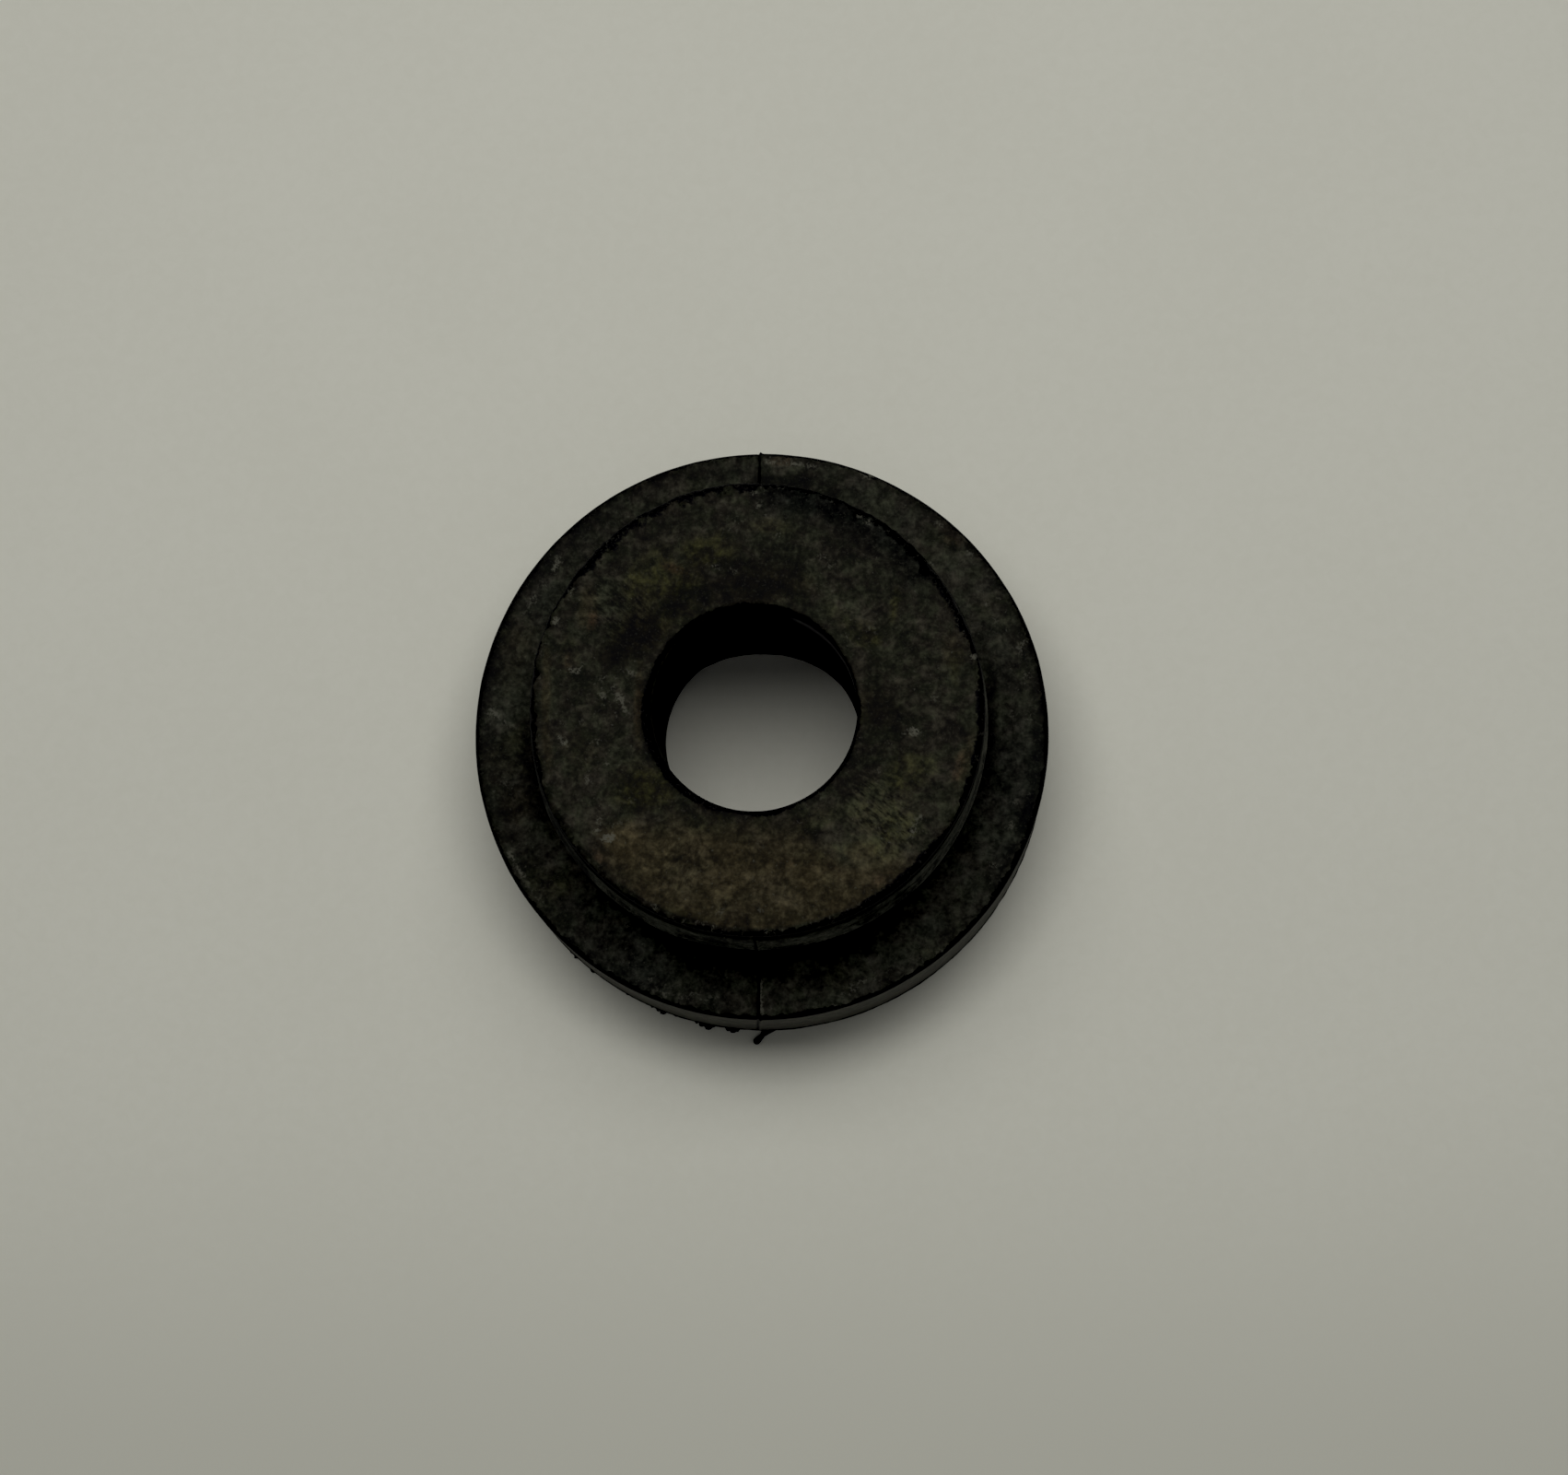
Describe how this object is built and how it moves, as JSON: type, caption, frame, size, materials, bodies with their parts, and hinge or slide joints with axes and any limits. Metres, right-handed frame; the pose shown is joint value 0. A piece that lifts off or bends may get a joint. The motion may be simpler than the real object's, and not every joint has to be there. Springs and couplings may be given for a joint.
{
  "type": "radiator mount",
  "caption": "Rubber radiator mount bush: thick round flange, grooved neck and retaining lip for a bracket hole, with a through bore for the radiator's locating pin.",
  "frame": {"origin": "centre of the flange's flat underside, on the bore axis", "axes": "+Z along the bore axis, from the flange's underside up to the lip; the moulding's parting plane is the YZ plane"},
  "size_m": [0.04, 0.04, 0.019],
  "materials": {
    "rubber": "matt moulded rubber, aged and dusty"
  },
  "bodies": {
    "root": {"mount_bush": "rubber"}
  },
  "joints": []
}
